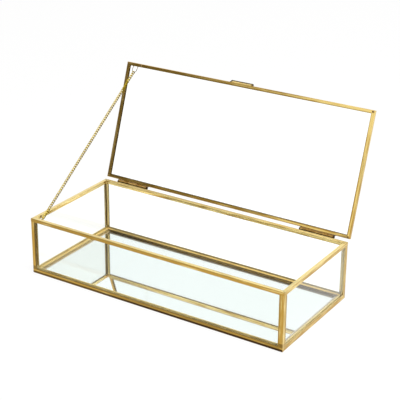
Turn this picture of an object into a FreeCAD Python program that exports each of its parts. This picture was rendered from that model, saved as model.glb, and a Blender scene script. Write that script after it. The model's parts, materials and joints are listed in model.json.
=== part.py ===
import FreeCAD, Part
import math
import os
import Sketcher
from FreeCAD import Placement, Rotation, Vector

# Glass keepsake box in a soldered brass frame: clear walls, a mirror floor, and a glass lid on two
# butt hinges that a curb chain stops past upright. The lid is modelled open, hanging on its chain.
# Millimetres. X runs left to right, Y front to back, Z up, with the frame standing on Z = 0.

# Name, value and meaning of each size that can be set by itself.
SIZES = [
    ("box_width", 230.0, "frame, outside, left to right"),
    ("box_depth", 100.0, "frame, outside, front to back"),
    ("box_height", 48.0, "table to the rim of the open box"),
    ("front_setback", 68.85, "origin to the front face, half the footprint with the lid open"),
    ("glass_thickness", 2.0, "every pane, and the mirror with its silvering"),
    ("glass_play", 0.05, "play on each face of a pane in its groove"),
    ("edge_play", 0.1, "play at each edge of a pane"),
    ("silver_thickness", 0.1, "silvering and its paint on the back of the mirror"),
    ("strip_thickness", 0.45, "brass strip of every rail and post"),
    ("came_outer_leg", 4.1, "corner strip, outer leg from the outside corner"),
    ("came_inner_leg", 2.1, "corner strip, inner leg past the core"),
    ("cap_flange", 2.9, "rim strip, height of its flanges"),
    ("lid_flange", 2.75, "lid strip, width of its flanges"),
    ("outer_round", 0.4, "radius on the outside folds of the strips"),
    ("tip_round", 0.15, "radius on the free edges of the strips"),
    ("lid_gap", 0.4, "rim to the lid when the lid is down"),
    ("lid_open_angle", 109.0, "lid from shut to hanging on its chain, degrees"),
    ("hinge_length", 30.0, "hinge, end to end"),
    ("hinge_inset", 12.5, "side of the box to the near end of a hinge"),
    ("end_knuckle", 5.4, "outer knuckle at each end of a hinge"),
    ("lid_knuckle", 4.8, "each of the two knuckles on the lid leaf"),
    ("knuckle_gap", 0.1, "gap between neighbouring knuckles"),
    ("barrel_radius", 1.2, "outside of the knuckles"),
    ("barrel_clearance", 0.2, "knuckles to the rails they swing past"),
    ("pin_radius", 0.6, "hinge pin"),
    ("pin_clearance", 0.03, "running fit of the pin in the knuckles"),
    ("pin_head_radius", 0.95, "peened head of the pin"),
    ("pin_head_height", 0.35, "peened head of the pin"),
    ("leaf_thickness", 0.45, "hinge leaf"),
    ("leaf_height", 2.7, "hinge leaf, pin axis to its free edge"),
    ("tab_length", 21.0, "finger tab on the front of the lid"),
    ("tab_offset", 3.0, "middle of the lid to the middle of the tab, leftwards"),
    ("tab_reach", 1.7, "how far the tab's lip stands out"),
    ("tab_height", 2.4, "flat of the tab on the lid strip"),
    ("tab_end_round", 0.9, "radius on the two corners of the lip"),
    ("staple_wire", 0.6, "wire of the two chain staples"),
    ("box_staple_width", 3.6, "between the leg axes"),
    ("box_staple_reach", 2.9, "rim strip to the axis of the bight"),
    ("box_staple_inset", 7.0, "side of the box to the staple's middle"),
    ("box_staple_depth", 1.8, "rim down to the staple"),
    ("lid_staple_width", 4.4, "between the leg axes"),
    ("lid_staple_reach", 5.27, "lid strip to the axis of the bight"),
    ("lid_staple_inset", 9.0, "side of the lid to the staple's middle"),
    ("lid_staple_tilt", 17.35, "bight bent away from the lid glass, degrees"),
    ("lid_staple_seat", 0.14, "lid strip to the end of a leg"),
    ("link_wire", 0.65, "wire of the chain"),
    ("link_width", 2.7, "outside width of a link"),
    ("link_twist", 45.0, "turn of each end of a link from its middle, degrees"),
    ("link_play", 0.1, "slack where a link hooks on the next one or on a staple"),
]
CHAIN_RUNS = 18
LINKS_PER_RUN = 4
LINK_STEPS = 10
LINK_SIDES = 5

doc = FreeCAD.newDocument("keepsake_box")
sheet = doc.addObject("Spreadsheet::Sheet", "dims")
for row, (alias, value, meaning) in enumerate(SIZES, start=1):
    sheet.set(f"A{row}", meaning)
    sheet.set(f"B{row}", str(value))
    sheet.setAlias(f"B{row}", alias)
doc.recompute()

# Places and sizes that follow from the sheet, as expressions.
FRONT = "(-dims.front_setback)"
REAR = "(dims.box_depth - dims.front_setback)"
LEFT = "(-dims.box_width / 2)"
RIGHT = "(dims.box_width / 2)"
GROOVE = "(dims.glass_thickness + 2 * dims.glass_play)"
CORE = f"(2 * dims.strip_thickness + {GROOVE})"
CAME_END = f"({CORE} + dims.came_inner_leg)"
LID_BOTTOM = "(dims.box_height + dims.lid_gap)"
PIN_Y = f"({REAR} + dims.barrel_radius + dims.barrel_clearance)"
PIN_Z = "(dims.box_height + dims.lid_gap / 2)"
LID_SWING = (
    f"placement(vector(0; {PIN_Y}; {PIN_Z}); rotation(vector(1; 0; 0); -dims.lid_open_angle))"
    f" * placement(vector(0; -{PIN_Y}; -{PIN_Z}); rotation(vector(1; 0; 0); 0))"
)

pieces = []


def measure(expression):
    """The number that an expression on the sheet stands for now."""
    return float(sheet.evalExpression(expression))


def place(piece, x, y, z, axis="0; 0; 1", turn="0", on_lid=False):
    """Put a piece at a point, turned about an axis. Lid pieces are placed shut, then swung open."""
    spot = f"placement(vector({x}; {y}; {z}); rotation(vector({axis}); {turn}))"
    piece.setExpression("Placement", f"{LID_SWING} * {spot}" if on_lid else spot)


def keep(piece, label):
    """Name a finished piece and list it for export."""
    piece.Label = label
    pieces.append(piece)


def primitive(kind, name, **sizes):
    """A Part primitive with its sizes bound to the sheet."""
    shape = doc.addObject(kind, name)
    for size, expression in sizes.items():
        shape.setExpression(size, expression)
    return shape


def outline(body, role, loops, name):
    """A sketch on one of the body's own planes, of closed loops of corners given as expressions."""
    sketch = body.newObject("Sketcher::SketchObject", name)
    plane = next(item for item in body.Origin.OriginFeatures if item.Role == role)
    sketch.AttachmentSupport = [(plane, "")]
    sketch.MapMode = "FlatFace"
    for corners in loops:
        first = sketch.GeometryCount
        spots = [Vector(measure(u), measure(v), 0) for u, v in corners]
        count = len(spots)
        for i in range(count):
            sketch.addGeometry(Part.LineSegment(spots[i], spots[(i + 1) % count]), False)
        for i in range(count):
            joined = first + (i + 1) % count
            sketch.addConstraint(Sketcher.Constraint("Coincident", first + i, 2, joined, 1))
        for i, (u, v) in enumerate(corners):
            for kind, expression in (("DistanceX", u), ("DistanceY", v)):
                rule = Sketcher.Constraint(kind, -1, 1, first + i, 1, measure(expression))
                sketch.setExpression(f"Constraints[{sketch.addConstraint(rule)}]", expression)
    return sketch


def pad(body, sketch, length):
    """Extrude a sketch along its normal."""
    feature = body.newObject("PartDesign::Pad", "Pad")
    feature.Profile = sketch
    feature.setExpression("Length", length)
    return feature


def cut_through(body, sketch):
    """Cut a sketch through the whole body, both ways from its plane."""
    feature = body.newObject("PartDesign::Pocket", "Cut")
    feature.Profile = sketch
    feature.Type = "ThroughAll"
    feature.SideType = "Symmetric"
    return feature


def round_long_edges(body, corners, radius):
    """Round the edges along the body's X axis that pass through the given corners of its section."""
    doc.recompute()
    base = body.Tip
    spots = [(measure(u), measure(v)) for u, v in corners]
    names = []
    for number, edge in enumerate(base.Shape.Edges, start=1):
        start, end = edge.Vertexes[0].Point, edge.Vertexes[-1].Point
        along = abs(start.y - end.y) + abs(start.z - end.z) < 1e-6
        if along and any(abs(start.y - u) + abs(start.z - v) < 1e-4 for u, v in spots):
            names.append(f"Edge{number}")
    feature = body.newObject("PartDesign::Fillet", "Round")
    feature.Base = (base, names)
    feature.setExpression("Radius", radius)
    return feature


def mitre(body, role, length, reach, both_ends=True):
    """Cut the ends of a strip at 45 degrees, falling away from the body's X axis."""
    loops = [[("0", "0"), ("0", reach), (reach, reach)]]
    if both_ends:
        loops.append([(length, "0"), (f"{length} - {reach}", reach), (length, reach)])
    cut_through(body, outline(body, role, loops, "Mitre"))


# Corner strip of the bottom rails and posts: an outer angle and an inner angle on a square core,
# with a groove on each side for the edge of a pane.
STRIP = "dims.strip_thickness"
INNER_FACE = f"({STRIP} + {GROOVE})"
OUTER_LEG = "dims.came_outer_leg"
CAME_SECTION = [
    ("0", "0"), (OUTER_LEG, "0"), (OUTER_LEG, STRIP), (CORE, STRIP), (CORE, INNER_FACE),
    (CAME_END, INNER_FACE), (CAME_END, CORE), (CORE, CORE), (CORE, CAME_END), (INNER_FACE, CAME_END),
    (INNER_FACE, CORE), (STRIP, CORE), (STRIP, OUTER_LEG), ("0", OUTER_LEG),
]
CAME_TIPS = [
    (OUTER_LEG, "0"), (OUTER_LEG, STRIP), (CAME_END, INNER_FACE), (CAME_END, CORE),
    (CORE, CAME_END), (INNER_FACE, CAME_END), (STRIP, OUTER_LEG), ("0", OUTER_LEG),
]
MITRE_REACH = f"({CAME_END} + {CORE})"


def channel_section(depth, opens_down):
    """Section of a folded channel one core wide, with its flanges of the given depth."""
    bed = f"({depth} - {STRIP})"
    walls = [
        ("0", "0"), (STRIP, "0"), (STRIP, bed), (INNER_FACE, bed),
        (INNER_FACE, "0"), (CORE, "0"), (CORE, depth), ("0", depth),
    ]
    if opens_down:
        return walls
    return [(f"{depth} - ({v})", u) for u, v in walls]


def strip_body(name, section, folds, length):
    """A straight length of strip along X, with its outside folds rounded."""
    body = doc.addObject("PartDesign::Body", name)
    pad(body, outline(body, "YZ_Plane", [section], "Section"), length)
    round_long_edges(body, folds, "dims.outer_round")
    return body


# The four sides, each as the name, the corner that its strip starts from and the strip's length.
SIDES = [
    ("front", LEFT, FRONT, "dims.box_width"),
    ("right", RIGHT, FRONT, "dims.box_depth"),
    ("rear", RIGHT, REAR, "dims.box_width"),
    ("left", LEFT, REAR, "dims.box_depth"),
]
CORNERS = ["front_left", "front_right", "rear_right", "rear_left"]

# Bottom rails: corner strip laid flat, mitred in plan to each other and in height to the posts.
for quarter, (side, x, y, length) in enumerate(SIDES):
    rail = strip_body(f"bottom_{side}", CAME_SECTION, [("0", "0")], length)
    round_long_edges(rail, CAME_TIPS, "dims.tip_round")
    mitre(rail, "XY_Plane", length, MITRE_REACH)
    mitre(rail, "XZ_Plane", length, MITRE_REACH)
    place(rail, x, y, "0", turn=str(90 * quarter))
    keep(rail, f"bottom_{side}_rail")

# Corner posts: the same strip standing up, mitred at the foot and square under the rim.
POST_HEIGHT = "dims.box_height - dims.cap_flange"
UPRIGHT = "rotation(vector(1; 1; 1); -120)"
for quarter, (side, x, y, length) in enumerate(SIDES):
    post = strip_body(f"post_{CORNERS[quarter]}", CAME_SECTION, [("0", "0")], POST_HEIGHT)
    round_long_edges(post, CAME_TIPS, "dims.tip_round")
    mitre(post, "XY_Plane", POST_HEIGHT, MITRE_REACH, both_ends=False)
    mitre(post, "XZ_Plane", POST_HEIGHT, MITRE_REACH, both_ends=False)
    turn = f"rotation(vector(0; 0; 1); {90 * quarter}) * {UPRIGHT}"
    post.setExpression("Placement", f"placement(vector({x}; {y}; 0); {turn})")
    keep(post, f"{CORNERS[quarter]}_post")

# Rim: channel folded over the top edges of the walls, mitred at the corners.
RIM_FOLDS = [("0", "dims.cap_flange"), (CORE, "dims.cap_flange")]
for quarter, (side, x, y, length) in enumerate(SIDES):
    rim = strip_body(f"rim_{side}", channel_section("dims.cap_flange", True), RIM_FOLDS, length)
    mitre(rim, "XY_Plane", length, MITRE_REACH)
    place(rim, x, y, POST_HEIGHT, turn=str(90 * quarter))
    keep(rim, f"top_{side}_rail")

# Lid frame: channel lying on its side round the lid glass, mitred at the corners.
LID_FOLDS = [("0", "0"), ("0", CORE)]
for quarter, (side, x, y, length) in enumerate(SIDES):
    edge = strip_body(f"lid_{side}", channel_section("dims.lid_flange", False), LID_FOLDS, length)
    mitre(edge, "XY_Plane", length, MITRE_REACH)
    place(edge, x, y, LID_BOTTOM, turn=str(90 * quarter), on_lid=True)
    keep(edge, f"lid_{side}_rail")

# Panes: each wall stands on the core of its bottom rail, between the cores of its posts, under the rim.
GLASS = "dims.glass_thickness"
PANE_IN = f"({CORE} + dims.edge_play)"
WALL_HEIGHT = f"dims.box_height - {STRIP} - dims.edge_play - {CORE}"
SPAN_X = f"dims.box_width - 2 * {PANE_IN}"
SPAN_Y = f"dims.box_depth - 2 * {PANE_IN}"
SKIN = f"({STRIP} + dims.glass_play)"
WALLS = [
    ("front", SPAN_X, GLASS, f"{LEFT} + {PANE_IN}", f"{FRONT} + {SKIN}"),
    ("rear", SPAN_X, GLASS, f"{LEFT} + {PANE_IN}", f"{REAR} - {SKIN} - {GLASS}"),
    ("left", GLASS, SPAN_Y, f"{LEFT} + {SKIN}", f"{FRONT} + {PANE_IN}"),
    ("right", GLASS, SPAN_Y, f"{RIGHT} - {SKIN} - {GLASS}", f"{FRONT} + {PANE_IN}"),
]
for side, span_x, span_y, x, y in WALLS:
    pane = primitive("Part::Box", f"pane_{side}", Length=span_x, Width=span_y, Height=WALL_HEIGHT)
    place(pane, x, y, CORE)
    keep(pane, f"{side}_glass")

# Mirror floor: silvered glass that lies on the lower legs of the bottom rails, silver side down.
MIRROR_GLASS = f"{GLASS} - dims.silver_thickness"
for label, height, lift in (
    ("mirror_silvering", "dims.silver_thickness", STRIP),
    ("mirror_glass", MIRROR_GLASS, f"{STRIP} + dims.silver_thickness"),
):
    sheet_of = primitive("Part::Box", label, Length=SPAN_X, Width=SPAN_Y, Height=height)
    place(sheet_of, f"{LEFT} + {PANE_IN}", f"{FRONT} + {PANE_IN}", lift)
    keep(sheet_of, label)

# Lid glass: held in the groove of the lid frame on all four sides.
LID_PANE_IN = f"({STRIP} + dims.edge_play)"
lid_pane = primitive(
    "Part::Box", "lid_pane", Length=f"dims.box_width - 2 * {LID_PANE_IN}",
    Width=f"dims.box_depth - 2 * {LID_PANE_IN}", Height=GLASS,
)
place(lid_pane, f"{LEFT} + {LID_PANE_IN}", f"{FRONT} + {LID_PANE_IN}", f"{LID_BOTTOM} + {SKIN}", on_lid=True)
keep(lid_pane, "lid_glass")

# Butt hinges behind the rim: each leaf is a plate soldered on a rail, with its own knuckles rolled
# round the pin and relief cut for the knuckles of the other leaf.
MIDDLE_KNUCKLE = "(dims.hinge_length - 2 * dims.end_knuckle - 2 * dims.lid_knuckle)"
BOX_KNUCKLES = [
    ("0", "dims.end_knuckle"),
    ("dims.end_knuckle + dims.lid_knuckle", MIDDLE_KNUCKLE),
    ("dims.hinge_length - dims.end_knuckle", "dims.end_knuckle"),
]
LID_KNUCKLES = [
    ("dims.end_knuckle", "dims.lid_knuckle"),
    ("dims.hinge_length - dims.end_knuckle - dims.lid_knuckle", "dims.lid_knuckle"),
]


def round_bar(name, x, start, length, radius):
    """A round bar on the pin axis."""
    bar = primitive("Part::Cylinder", name, Radius=radius, Height=length)
    place(bar, f"{x} + {start}", PIN_Y, PIN_Z, axis="0; 1; 0", turn="90")
    return bar


def hinge_leaf(name, x, own, other, plate_bottom, gap):
    """Plate with its own knuckles, cut clear of the other leaf's knuckles and bored for the pin."""
    plate = primitive(
        "Part::Box", f"{name}_plate", Length="dims.hinge_length",
        Width="dims.leaf_thickness", Height="dims.leaf_height",
    )
    place(plate, x, REAR, plate_bottom)
    solids = [plate]
    for i, (start, length) in enumerate(own):
        spot, span = f"{start} + {gap}", f"{length} - 2 * {gap}"
        solids.append(round_bar(f"{name}_knuckle_{i}", x, spot, span, "dims.barrel_radius"))
    tools = [round_bar(f"{name}_bore", x, "0", "dims.hinge_length", "dims.pin_radius + dims.pin_clearance")]
    relief = "dims.barrel_radius + dims.barrel_clearance"
    for i, (start, length) in enumerate(other):
        spot, span = f"{start} - dims.knuckle_gap + {gap}", f"{length} + 2 * dims.knuckle_gap - 2 * {gap}"
        tools.append(round_bar(f"{name}_relief_{i}", x, spot, span, relief))
    joined = doc.addObject("Part::MultiFuse", f"{name}_joined")
    joined.Shapes = solids
    cutter = doc.addObject("Part::MultiFuse", f"{name}_cutter")
    cutter.Shapes = tools
    leaf = doc.addObject("Part::Cut", name)
    leaf.Base = joined
    leaf.Tool = cutter
    leaf.Refine = True
    return leaf


HINGES = [
    ("left", f"({LEFT} + dims.hinge_inset)"),
    ("right", f"({RIGHT} - dims.hinge_inset - dims.hinge_length)"),
]
for side, x in HINGES:
    box_leaf = hinge_leaf(f"{side}_box_leaf", x, BOX_KNUCKLES, LID_KNUCKLES, f"{PIN_Z} - dims.leaf_height", "0")
    keep(box_leaf, f"{side}_hinge_box_leaf")
    lid_leaf = hinge_leaf(f"{side}_lid_leaf", x, LID_KNUCKLES, BOX_KNUCKLES, PIN_Z, "dims.knuckle_gap")
    lid_leaf.setExpression("Placement", LID_SWING)
    keep(lid_leaf, f"{side}_hinge_lid_leaf")

    # Pin with a peened head at each end.
    head, crown = "dims.pin_head_radius", "dims.pin_head_height"
    half = [
        (f"-{crown}", "0"), (f"-{crown}", f"{head} * 0.6"), (f"-{crown} * 0.4", head), ("0", head),
        ("0", "dims.pin_radius"), ("dims.hinge_length", "dims.pin_radius"), ("dims.hinge_length", head),
        (f"dims.hinge_length + {crown} * 0.4", head), (f"dims.hinge_length + {crown}", f"{head} * 0.6"),
        (f"dims.hinge_length + {crown}", "0"),
    ]
    pin = doc.addObject("PartDesign::Body", f"{side}_pin")
    turned = pin.newObject("PartDesign::Revolution", "Turned")
    turned.Profile = outline(pin, "XY_Plane", [half], "Half")
    turned.ReferenceAxis = (turned.Profile[0], ["H_Axis"])
    turned.Angle = 360
    place(pin, x, PIN_Y, PIN_Z)
    keep(pin, f"{side}_hinge_pin")

# Finger tab: a folded strip soldered on the front of the lid, with a lip to lift by.
tab = doc.addObject("PartDesign::Body", "tab")
LIP = "-dims.tab_reach"
TAB_SECTION = [
    ("0", "0"), ("0", "dims.tab_height"), (LIP, "dims.tab_height"), (LIP, f"dims.tab_height - {STRIP}"),
    (f"-{STRIP}", f"dims.tab_height - {STRIP}"), (f"-{STRIP}", "0"),
]
pad(tab, outline(tab, "YZ_Plane", [TAB_SECTION], "Section"), "dims.tab_length")
round_long_edges(tab, [(f"-{STRIP}", f"dims.tab_height - {STRIP}")], "dims.outer_round")
doc.recompute()
folded = tab.Tip
lip_y = measure(LIP)
lip_corners = []
for number, edge in enumerate(folded.Shape.Edges, start=1):
    start, end = edge.Vertexes[0].Point, edge.Vertexes[-1].Point
    upright = abs(start.x - end.x) + abs(start.y - end.y) < 1e-6
    if upright and abs(start.y - lip_y) < 1e-4:
        lip_corners.append(f"Edge{number}")
ends = tab.newObject("PartDesign::Fillet", "Ends")
ends.Base = (folded, lip_corners)
ends.setExpression("Radius", "dims.tab_end_round")
TAB_LIFT = f"{LID_BOTTOM} + ({CORE} - dims.tab_height) / 2"
place(tab, "-dims.tab_offset - dims.tab_length / 2", FRONT, TAB_LIFT, on_lid=True)
keep(tab, "lid_tab")


def staple(name, width, reach):
    """Wire U along Y, its bight centred on the origin and its two legs running back to its seat."""
    leg = f"({reach} - {width} / 2)"
    wire = "dims.staple_wire / 2"
    bight = primitive("Part::Torus", f"{name}_bight", Radius1=f"{width} / 2", Radius2=wire)
    bight.Angle3 = 180
    legs = []
    for hand, x in (("left", f"-{width} / 2"), ("right", f"{width} / 2")):
        bar = primitive("Part::Cylinder", f"{name}_{hand}_leg", Radius=wire, Height=leg)
        place(bar, x, "0", "0", axis="1; 0; 0", turn="90")
        legs.append(bar)
    joined = doc.addObject("Part::MultiFuse", name)
    joined.Shapes = [bight] + legs
    joined.Refine = True
    return joined


# Box staple: stands level out of the inside of the front rim, close to the left corner.
BOX_ARC = "(dims.box_staple_reach - dims.box_staple_width / 2)"
box_staple = staple("box_staple", "dims.box_staple_width", "dims.box_staple_reach")
BOX_STAPLE_AT = (
    f"{LEFT} + dims.box_staple_inset", f"{FRONT} + {CORE} + {BOX_ARC}", "dims.box_height - dims.box_staple_depth",
)
place(box_staple, *BOX_STAPLE_AT)
keep(box_staple, "box_chain_staple")

# Lid staple: its legs butt on the edge of the lid's front strip and lean away from the glass.
LID_ARC = "(dims.lid_staple_reach - dims.lid_staple_width / 2)"
LEAN = "dims.lid_staple_tilt"
LEG_HEIGHT = f"({LID_BOTTOM} + {STRIP} - dims.staple_wire / 2)"
lid_staple = staple("lid_staple", "dims.lid_staple_width", "dims.lid_staple_reach")
LID_STAPLE_AT = (
    f"{LEFT} + dims.lid_staple_inset",
    f"{FRONT} + dims.lid_flange + dims.lid_staple_seat + {LID_ARC} * cos({LEAN} * 1deg)",
    f"{LEG_HEIGHT} - {LID_ARC} * sin({LEAN} * 1deg)",
)
place(lid_staple, *LID_STAPLE_AT, axis="1; 0; 0", turn=f"-{LEAN}", on_lid=True)
keep(lid_staple, "lid_chain_staple")

doc.recompute()

# Curb chain, pulled straight between the bights of the two staples. Every link is an oval of wire
# with its ends turned opposite ways, so that it lies flat against its neighbours.
lower_end = box_staple.Placement.multVec(Vector(0, measure("dims.box_staple_width") / 2, 0))
upper_end = lid_staple.Placement.multVec(Vector(0, measure("dims.lid_staple_width") / 2, 0))
wire_radius = measure("dims.link_wire") / 2
half_width = measure("dims.link_width") / 2 - wire_radius
twist = math.radians(measure("dims.link_twist"))
play = measure("dims.link_play")
staple_radius = measure("dims.staple_wire") / 2
link_count = CHAIN_RUNS * LINKS_PER_RUN
reach = (upper_end - lower_end).Length
# Half the length of a link, so that all the links, hooked up with their play, span the staples:
# reach = (link_count - 1) * pitch + 2 * hook, with pitch and hook as below.
slack = (link_count - 1) * (2 * wire_radius + play) + 2 * (wire_radius + staple_radius + play)
half_length = (reach + slack) / (2 * link_count)
pitch = 2 * half_length - 2 * wire_radius - play
hook = half_length - wire_radius - staple_radius - play


def link_centre_line(turn, lower_roll, upper_roll):
    """Point on the wire's axis at an angle round a link whose two ends are rolled as given."""
    roll = (upper_roll + lower_roll) / 2 + (upper_roll - lower_roll) / 2 * math.cos(turn)
    across = half_width * math.sin(turn)
    return Vector(half_length * math.cos(turn), across * math.cos(roll), across * math.sin(roll))


def link_solid(lower_roll, upper_roll):
    """One link: a many-sided wire round the twisted oval, as a closed skin of flat facets."""
    rolls = (lower_roll, upper_roll)
    rings = []
    for step in range(LINK_STEPS):
        turn = 2 * math.pi * (step + 0.5) / LINK_STEPS
        nudge = math.pi / LINK_STEPS
        centre = link_centre_line(turn, *rolls)
        ahead = (link_centre_line(turn + nudge, *rolls) - link_centre_line(turn - nudge, *rolls)).normalize()
        outward = Vector(0, centre.y, centre.z) + Vector(centre.x, 0, 0) * (half_width / half_length)
        outward = (outward - ahead * outward.dot(ahead)).normalize()
        side = ahead.cross(outward)
        ring = []
        for corner in range(LINK_SIDES):
            angle = 2 * math.pi * corner / LINK_SIDES
            ring.append(centre + (outward * math.cos(angle) + side * math.sin(angle)) * wire_radius)
        rings.append(ring)
    facets = []
    for step in range(LINK_STEPS):
        here, there = rings[step], rings[(step + 1) % LINK_STEPS]
        for corner in range(LINK_SIDES):
            after = (corner + 1) % LINK_SIDES
            a, b, c, d = here[corner], here[after], there[after], there[corner]
            facets.append(Part.Face(Part.makePolygon([a, b, c, a])))
            facets.append(Part.Face(Part.makePolygon([a, c, d, a])))
    skin = Part.makeShell(facets)
    skin.sewShape()
    solid = Part.makeSolid(skin.Shells[0])
    if solid.Volume < 0:
        solid.reverse()
    return solid


along = (upper_end - lower_end).normalize()
across = (Vector(1, 0, 0) - along * along.x).normalize()
chain_turn = Rotation(along, across, Vector(), "XYZ")
# The first and last links stand square to the staple at their outer ends.
plain_link = link_solid(-twist, twist)
first_link = link_solid(-math.pi / 2, twist)
last_link = link_solid(-twist, math.pi / 2)
for run in range(CHAIN_RUNS):
    forms = [plain_link] * LINKS_PER_RUN
    if run == 0:
        forms[0] = first_link
    if run == CHAIN_RUNS - 1:
        forms[-1] = last_link
    links = [form.translated(Vector(i * pitch, 0, 0)) for i, form in enumerate(forms)]
    segment = doc.addObject("Part::Feature", f"chain_{run + 1:02d}")
    segment.Shape = Part.makeCompound(links)
    segment.Placement = Placement(lower_end + along * (hook + run * LINKS_PER_RUN * pitch), chain_turn)
    keep(segment, f"chain_run_{run + 1:02d}")

doc.recompute()
for item in doc.Objects:
    if "Invalid" in item.State or "Error" in item.State:
        raise RuntimeError(f"{item.Name} failed: {item.State}")
for piece in pieces:
    if piece.Shape.isNull() or not piece.Shape.isValid() or piece.Shape.Volume <= 0:
        raise RuntimeError(f"{piece.Label} has no sound solid")

os.makedirs("parts", exist_ok=True)
for piece in pieces:
    piece.Shape.exportStep(f"parts/{piece.Label}.step")
print(f"{len(pieces)} pieces, chain pitch {pitch:.3f} mm over {reach:.1f} mm")
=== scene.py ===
import json
import math

import bmesh
import bpy
from mathutils import Matrix, Vector

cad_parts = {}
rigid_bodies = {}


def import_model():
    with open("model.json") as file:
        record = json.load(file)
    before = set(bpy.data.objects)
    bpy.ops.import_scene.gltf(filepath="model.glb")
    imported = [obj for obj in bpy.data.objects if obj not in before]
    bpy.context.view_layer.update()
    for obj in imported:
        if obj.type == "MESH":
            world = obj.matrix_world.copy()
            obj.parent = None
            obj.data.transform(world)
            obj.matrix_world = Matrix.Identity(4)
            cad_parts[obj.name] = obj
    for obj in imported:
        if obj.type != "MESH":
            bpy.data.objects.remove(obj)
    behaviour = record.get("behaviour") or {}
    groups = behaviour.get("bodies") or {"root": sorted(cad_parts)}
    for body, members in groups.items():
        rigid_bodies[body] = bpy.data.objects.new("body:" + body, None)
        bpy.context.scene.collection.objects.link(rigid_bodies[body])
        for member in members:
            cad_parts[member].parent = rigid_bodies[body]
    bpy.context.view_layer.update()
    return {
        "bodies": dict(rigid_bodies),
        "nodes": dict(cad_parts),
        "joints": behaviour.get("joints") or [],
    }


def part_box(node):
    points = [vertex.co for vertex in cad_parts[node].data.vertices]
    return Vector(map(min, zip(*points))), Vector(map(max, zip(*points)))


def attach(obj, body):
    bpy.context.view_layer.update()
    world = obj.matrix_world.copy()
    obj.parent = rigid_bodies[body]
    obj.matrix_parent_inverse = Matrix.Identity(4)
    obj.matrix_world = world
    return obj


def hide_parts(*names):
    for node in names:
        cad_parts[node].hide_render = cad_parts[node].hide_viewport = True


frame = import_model()
nodes = frame["nodes"]
joints = {joint["name"]: joint for joint in frame["joints"]}

# Studio. A white sweep of floor under two soft lamps: a large box of light high on the right, and a
# faint one behind for the top faces of the brass. Reflections also show a shaded corner in front on
# the left, which turns the brass that faces it brown.
scene = bpy.context.scene
scene.view_settings.view_transform = "Standard"

FLOOR_SPAN, FLOOR_DROP = 8.0, 0.0002
half = FLOOR_SPAN / 2
floor_corners = [(x, y, -FLOOR_DROP) for x, y in ((-half, -half), (half, -half), (half, half), (-half, half))]
floor_mesh = bpy.data.meshes.new("floor")
floor_mesh.from_pydata(floor_corners, [], [(0, 1, 2, 3)])
floor = bpy.data.objects.new("floor", floor_mesh)
scene.collection.objects.link(floor)


def put(tree, kind, inputs=None, **settings):
    """Add a node to a tree, set it up, and give each input a value or another node's output."""
    node = tree.nodes.new(kind)
    for name, value in settings.items():
        setattr(node, name, value)
    for name, value in (inputs or {}).items():
        if isinstance(value, bpy.types.NodeSocket):
            tree.links.new(value, node.inputs[name])
        else:
            node.inputs[name].default_value = value
    return node


def maths(tree, operation, *values):
    """Work through the values from the left with Math nodes, and give the last one's output."""
    result = values[0]
    for value in values[1:]:
        result = put(tree, "ShaderNodeMath", {0: result, 1: value}, operation=operation).outputs[0]
    return result


def ramp(tree, value, low, high, to_low=0.0, to_high=1.0, smooth=True):
    """Map a value from one range onto another, smoothly or in a straight line."""
    ranges = {"Value": value, "From Min": low, "From Max": high, "To Min": to_low, "To Max": to_high}
    line = "SMOOTHSTEP" if smooth else "LINEAR"
    return put(tree, "ShaderNodeMapRange", ranges, interpolation_type=line).outputs["Result"]


WHITE, FLOOR_PAPER = (1, 1, 1, 1), (0.93, 0.93, 0.92, 1)
FLOOR_GLOW, FLOOR_GLOW_IN_GLASS, GLOW_SHARE = 1.08, 1.25, 0.8
floor_white = bpy.data.materials.new("floor_white")
floor_white.use_nodes = True
tree = floor_white.node_tree
tree.nodes.clear()
paths = put(tree, "ShaderNodeLightPath").outputs
shown = maths(tree, "MAXIMUM", paths["Is Camera Ray"], paths["Is Glossy Ray"], paths["Is Transmission Ray"])
bright = ramp(tree, paths["Is Transmission Ray"], 0.0, 1.0, FLOOR_GLOW, FLOOR_GLOW_IN_GLASS, smooth=False)
matt = put(tree, "ShaderNodeBsdfDiffuse", {"Color": FLOOR_PAPER})
glow = put(tree, "ShaderNodeEmission", {"Color": WHITE, "Strength": bright})
blend = put(tree, "ShaderNodeMixShader", {
    "Fac": maths(tree, "MULTIPLY", shown, GLOW_SHARE), 1: matt.outputs[0], 2: glow.outputs[0],
})
put(tree, "ShaderNodeOutputMaterial", {"Surface": blend.outputs[0]})
floor_mesh.materials.append(floor_white)


def mixed(tree, factor, a, b, kind="RGBA"):
    """Mix two colours, or two numbers where kind is FLOAT."""
    first, result = (6, 2) if kind == "RGBA" else (2, 0)
    return put(tree, "ShaderNodeMix", {0: factor, first: a, first + 1: b}, data_type=kind).outputs[result]


FILL_LIGHT, SEEN_WHITE, SEEN_IN_GLASS = 0.55, 1.0, 1.15
SHADED_CORNER, SHADE_EDGE = Vector((-0.766, -0.643, 0.14)).normalized(), (0.905, 0.955)
REFLECTED_LIGHT, REFLECTED_SHADE = 1.06, 0.22
COOL_CORNER, COOL_EDGE, COOL_WHITE = (-0.8, 0.6, 0), (0.74, 0.92), (0.96, 0.985, 0.985, 1)
world = bpy.data.worlds.new("studio")
scene.world = world
world.use_nodes = True
tree = world.node_tree
tree.nodes.clear()
heading = put(tree, "ShaderNodeTexCoord").outputs["Generated"]
paths = put(tree, "ShaderNodeLightPath").outputs
toward = put(tree, "ShaderNodeVectorMath", {0: heading, 1: SHADED_CORNER}, operation="DOT_PRODUCT")
beyond = put(tree, "ShaderNodeVectorMath", {0: heading, 1: COOL_CORNER}, operation="DOT_PRODUCT")
shade = ramp(tree, toward.outputs["Value"], *SHADE_EDGE, REFLECTED_LIGHT, REFLECTED_SHADE)
cool = ramp(tree, beyond.outputs["Value"], *COOL_EDGE, smooth=False)
paper = mixed(tree, paths["Is Transmission Ray"], WHITE, mixed(tree, cool, WHITE, COOL_WHITE))
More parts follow.
